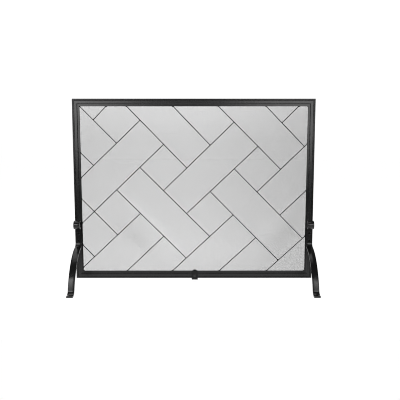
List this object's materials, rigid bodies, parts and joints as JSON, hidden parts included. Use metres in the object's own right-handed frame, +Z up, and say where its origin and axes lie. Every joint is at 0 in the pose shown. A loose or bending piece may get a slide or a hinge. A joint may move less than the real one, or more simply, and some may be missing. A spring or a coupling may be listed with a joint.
{
  "type": "fireplace screen",
  "caption": "Flat single-panel fireplace screen: moulded black frame, woven wire mesh with herringbone rods, arched bar legs with rolled tops and a rear foot under the middle.",
  "frame": {"origin": "on the floor, at the centre of the footprint box (bottom centre of the overall bounding box)", "axes": "+Z up, +X along the frame's width to the viewer's right, -Y towards the room (the side of the herringbone rods and arched legs)"},
  "size_m": [0.9906, 0.2712, 0.7759],
  "materials": {
    "frame_black": "satin black powder coat",
    "leg_black": "satin black over forged bar",
    "rod_black": "satin black",
    "mesh_wire": "black woven wire, about 44 percent closed",
    "backing_black": "matt black",
    "hardware_black": "black oxide"
  },
  "bodies": {
    "root": {"bottom_mesh_strip": "backing_black", "bottom_rail": "frame_black", "corner_plate_bottom_left": "backing_black", "corner_plate_bottom_right": "backing_black", "corner_plate_screws": "hardware_black", "corner_plate_top_left": "backing_black", "corner_plate_top_right": "backing_black", "herringbone_rod_01": "rod_black", "herringbone_rod_02": "rod_black", "herringbone_rod_03": "rod_black", "herringbone_rod_04": "rod_black", "herringbone_rod_05": "rod_black", "herringbone_rod_06": "rod_black", "herringbone_rod_07": "rod_black", "herringbone_rod_08": "rod_black", "herringbone_rod_09": "rod_black", "herringbone_rod_10": "rod_black", "herringbone_rod_11": "rod_black", "herringbone_rod_12": "rod_black", "herringbone_rod_13": "rod_black", "herringbone_rod_14": "rod_black", "herringbone_rod_15": "rod_black", "herringbone_rod_16": "rod_black", "herringbone_rod_17": "rod_black", "herringbone_rod_18": "rod_black", "herringbone_rod_19": "rod_black", "herringbone_rod_20": "rod_black", "herringbone_rod_21": "rod_black", "herringbone_rod_22": "rod_black", "herringbone_rod_23": "rod_black", "herringbone_rod_24": "rod_black", "herringbone_rod_25": "rod_black", "herringbone_rod_26": "rod_black", "left_leg": "leg_black", "left_mesh_strip": "backing_black", "left_stile": "frame_black", "leg_nuts": "hardware_black", "leg_screws": "hardware_black", "mesh_panel": "mesh_wire", "mesh_strip_screws": "hardware_black", "rear_foot": "leg_black", "rear_foot_bolt": "hardware_black", "rear_foot_nut": "hardware_black", "rear_foot_washer": "hardware_black", "right_leg": "leg_black", "right_mesh_strip": "backing_black", "right_stile": "frame_black", "top_mesh_strip": "backing_black", "top_rail": "frame_black"}
  },
  "joints": []
}
